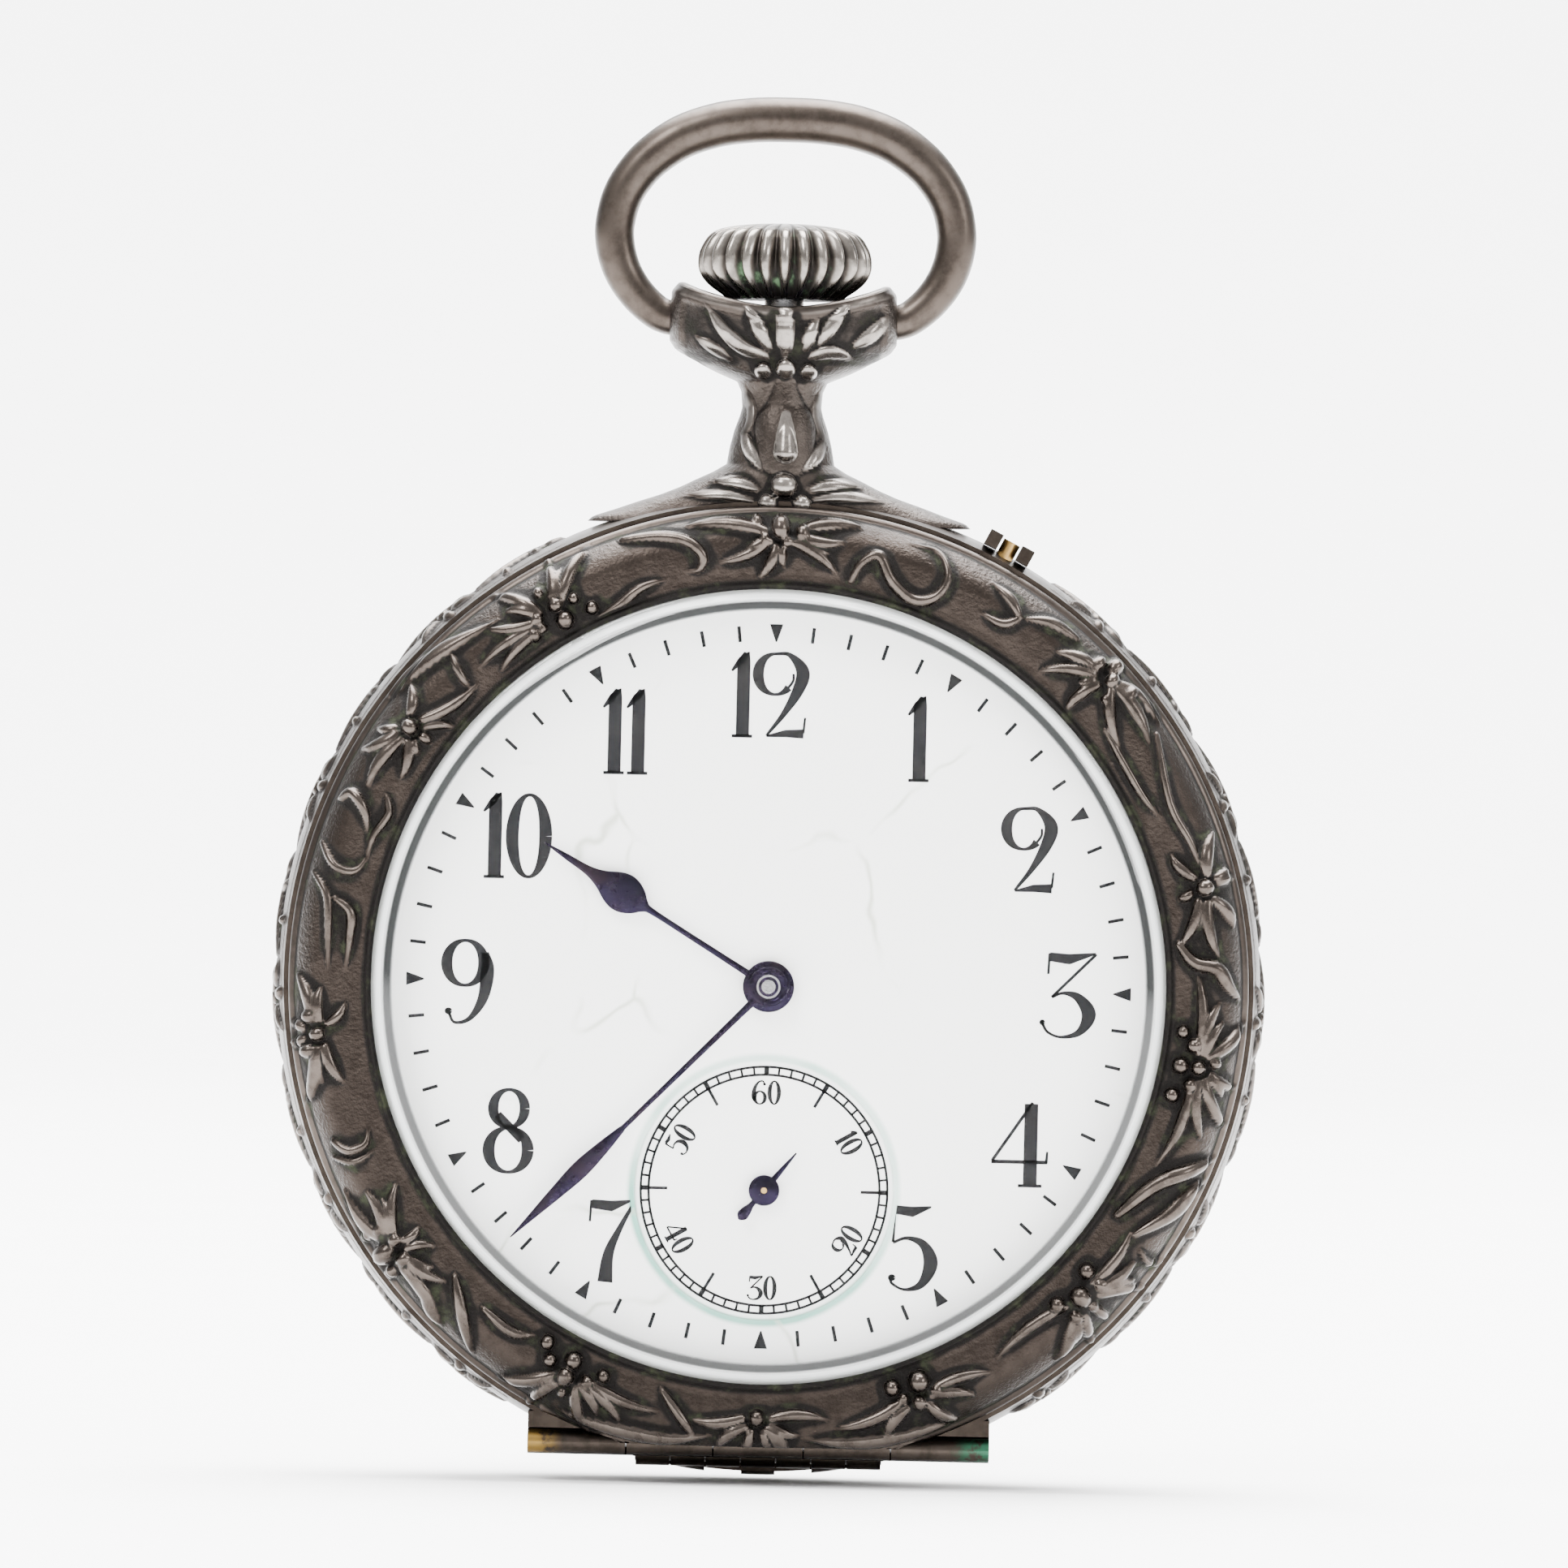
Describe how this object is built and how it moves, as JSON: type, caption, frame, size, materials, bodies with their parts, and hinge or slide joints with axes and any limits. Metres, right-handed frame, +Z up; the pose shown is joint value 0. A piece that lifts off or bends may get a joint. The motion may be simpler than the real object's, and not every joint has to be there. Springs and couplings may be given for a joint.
{
  "type": "pocket watch",
  "caption": "Open-face pocket watch with an embossed hinged bezel, hinged back and dust cover, crown, bow and a small-seconds dial over a lever movement.",
  "frame": {"origin": "centre of the flat of the back cover, on the axis of the case", "axes": "+Z up towards the crown and the bow, +Y out of the back, so the dial faces -Y; +X right as the dial is seen"},
  "size_m": [0.0502, 0.0137, 0.0703],
  "materials": {
    "case_silver": "silver, worn and lightly tarnished",
    "embossed_silver": "embossed silver, oxidised dark in the hollows",
    "pendant_silver": "cast silver, polished on the high parts",
    "glass": "clear, polished",
    "enamel": "fired white enamel with fine cracks",
    "blued_steel": "polished, blued almost black",
    "steel": "polished steel",
    "brass": "polished brass",
    "gilt": "frosted gilt brass",
    "ruby": "polished ruby"
  },
  "bodies": {
    "case": {"case_middle": "case_silver", "front_case_knuckles": "case_silver", "front_hinge_pin": "steel", "back_case_knuckles": "case_silver", "back_hinge_pin": "steel", "pendant": "pendant_silver", "pendant_sleeve": "case_silver", "push_piece_guard": "case_silver", "main_plate": "gilt", "barrel_bridge": "gilt", "train_bridge": "gilt", "balance_cock": "gilt", "pallet_bridge": "gilt", "bridge_screws": "steel", "case_screws": "steel", "jewels": "ruby", "dial": "enamel", "seconds_dial": "enamel", "hairspring": "blued_steel", "click_spring": "steel", "setting_lever_spring": "steel"},
    "bezel": {"bezel": "embossed_silver", "bezel_knuckles": "case_silver", "crystal": "glass"},
    "back_cover": {"back_cover": "embossed_silver", "back_cover_knuckles": "case_silver"},
    "cuvette": {"cuvette": "case_silver", "cuvette_knuckles": "case_silver"},
    "bow": {"bow": "pendant_silver"},
    "winding_stem": {"crown": "pendant_silver", "stem": "steel"},
    "winding_pinion": {"winding_pinion": "steel"},
    "clutch": {"clutch_wheel": "steel"},
    "crown_wheel": {"crown_wheel": "steel"},
    "ratchet": {"ratchet_wheel": "steel", "ratchet_screw": "steel", "barrel_arbor": "steel"},
    "click": {"click": "steel"},
    "push_piece": {"push_piece": "steel"},
    "setting_lever": {"setting_lever": "steel"},
    "centre": {"centre_wheel": "brass", "centre_pinion": "steel", "cannon_pinion": "steel", "minute_hand": "blued_steel"},
    "hour": {"hour_wheel": "brass", "hour_hand": "blued_steel"},
    "minute_wheel": {"minute_wheel": "brass"},
    "setting_wheel": {"setting_wheel": "brass"},
    "barrel": {"barrel_drum": "brass", "barrel_cover": "brass", "mainspring": "steel"},
    "third": {"third_wheel": "brass"},
    "fourth": {"fourth_wheel": "brass", "seconds_hand": "blued_steel"},
    "escape": {"escape_wheel": "steel"},
    "pallets": {"pallet_fork": "steel", "pallet_stones": "ruby"},
    "balance": {"balance_wheel": "brass", "balance_staff": "steel"},
    "regulator": {"regulator": "steel"}
  },
  "joints": [
    {"name": "bezel_open", "type": "hinge", "parent": "case", "child": "bezel", "pos_m": [0, -0.0098, -0.0233], "axis": [1, 0, 0], "range_deg": [0, 100]},
    {"name": "back_open", "type": "hinge", "parent": "case", "child": "back_cover", "pos_m": [0, -0.0043, -0.0242], "axis": [-1, 0, 0], "range_deg": [0, 100]},
    {"name": "cuvette_open", "type": "hinge", "parent": "case", "child": "cuvette", "pos_m": [0, -0.0043, -0.0242], "axis": [-1, 0, 0], "range_deg": [0, 90]},
    {"name": "bow_swing", "type": "hinge", "parent": "case", "child": "bow", "pos_m": [0, -0.0071, 0.0339], "axis": [1, 0, 0], "range_deg": [-100, 100]},
    {"name": "crown_turn", "type": "hinge", "parent": "case", "child": "winding_stem", "pos_m": [0, -0.0071, 0.03], "axis": [0, 0, 1], "continuous": true},
    {"name": "winding_pinion_turn", "type": "hinge", "parent": "case", "child": "winding_pinion", "pos_m": [0, -0.0071, 0.01969], "axis": [0, 0, 1], "continuous": true},
    {"name": "crown_wheel_turn", "type": "hinge", "parent": "case", "child": "crown_wheel", "pos_m": [0, -0.00445, 0.01519], "axis": [0, 1, 0], "continuous": true},
    {"name": "ratchet_turn", "type": "hinge", "parent": "case", "child": "ratchet", "pos_m": [0.00566, -0.00445, 0.00725], "axis": [0, 1, 0], "continuous": true},
    {"name": "click_rock", "type": "hinge", "parent": "case", "child": "click", "pos_m": [0.01276, -0.00445, 0.00467], "axis": [0, 1, 0], "range_deg": [0, 5], "stiffness_Nm_per_rad": 0.001},
    {"name": "push_piece_press", "type": "slide", "parent": "case", "child": "push_piece", "axis": [-0.4617, 0, -0.887], "range_m": [0, 0.0006], "stiffness_N_per_m": 300},
    {"name": "setting_lever_rock", "type": "hinge", "parent": "case", "child": "setting_lever", "pos_m": [0.0145, -0.0086, 0.011], "axis": [0, -1, 0], "range_deg": [0, 4.44]},
    {"name": "clutch_slide", "type": "slide", "parent": "winding_stem", "child": "clutch", "axis": [0, 0, -1], "range_m": [0, 0.00105]},
    {"name": "centre_turn", "type": "hinge", "parent": "case", "child": "centre", "pos_m": [0, -0.0116, 0], "axis": [0, 1, 0], "continuous": true},
    {"name": "hour_turn", "type": "hinge", "parent": "case", "child": "hour", "pos_m": [0, -0.01115, 0], "axis": [0, 1, 0], "continuous": true},
    {"name": "minute_wheel_turn", "type": "hinge", "parent": "case", "child": "minute_wheel", "pos_m": [0.00075, -0.00938, 0.00425], "axis": [0, 1, 0], "continuous": true},
    {"name": "setting_wheel_turn", "type": "hinge", "parent": "case", "child": "setting_wheel", "pos_m": [0, -0.00938, 0.0116], "axis": [0, 1, 0], "continuous": true},
    {"name": "barrel_turn", "type": "hinge", "parent": "case", "child": "barrel", "pos_m": [0.00566, -0.0063, 0.00725], "axis": [0, 1, 0], "continuous": true},
    {"name": "third_turn", "type": "hinge", "parent": "case", "child": "third", "pos_m": [0.00308, -0.008, -0.006], "axis": [0, 1, 0], "continuous": true},
    {"name": "fourth_turn", "type": "hinge", "parent": "case", "child": "fourth", "pos_m": [0, -0.008, -0.01033], "axis": [0, 1, 0], "continuous": true},
    {"name": "escape_turn", "type": "hinge", "parent": "case", "child": "escape", "pos_m": [-0.00446, -0.008, -0.00913], "axis": [0, 1, 0], "continuous": true},
    {"name": "pallet_rock", "type": "hinge", "parent": "case", "child": "pallets", "pos_m": [-0.00749, -0.008, -0.00738], "axis": [0, 1, 0], "range_deg": [-4, 4]},
    {"name": "balance_swing", "type": "hinge", "parent": "case", "child": "balance", "pos_m": [-0.00922, -0.008, -0.00312], "axis": [0, 1, 0], "range_deg": [-270, 270], "stiffness_Nm_per_rad": 0.000005},
    {"name": "regulator_turn", "type": "hinge", "parent": "case", "child": "regulator", "pos_m": [-0.00922, -0.00495, -0.00312], "axis": [0, 1, 0], "range_deg": [-12, 12]}
  ],
  "couplings": [
    {"joint": "cuvette_open", "follows": "back_open", "ratio": 0.9},
    {"joint": "winding_pinion_turn", "follows": "crown_turn", "ratio": 1},
    {"joint": "crown_wheel_turn", "follows": "crown_turn", "ratio": -0.38889},
    {"joint": "ratchet_turn", "follows": "crown_turn", "ratio": 0.33333},
    {"joint": "setting_lever_rock", "follows": "push_piece_press", "rad_per_m": 128.49},
    {"joint": "clutch_slide", "follows": "push_piece_press", "ratio": 1.7347},
    {"joint": "hour_turn", "follows": "centre_turn", "ratio": 0.083333},
    {"joint": "minute_wheel_turn", "follows": "centre_turn", "ratio": -0.33333},
    {"joint": "setting_wheel_turn", "follows": "centre_turn", "ratio": 0.26087},
    {"joint": "barrel_turn", "follows": "centre_turn", "ratio": -0.15},
    {"joint": "third_turn", "follows": "centre_turn", "ratio": -8},
    {"joint": "fourth_turn", "follows": "centre_turn", "ratio": 60},
    {"joint": "escape_turn", "follows": "centre_turn", "ratio": -600}
  ]
}
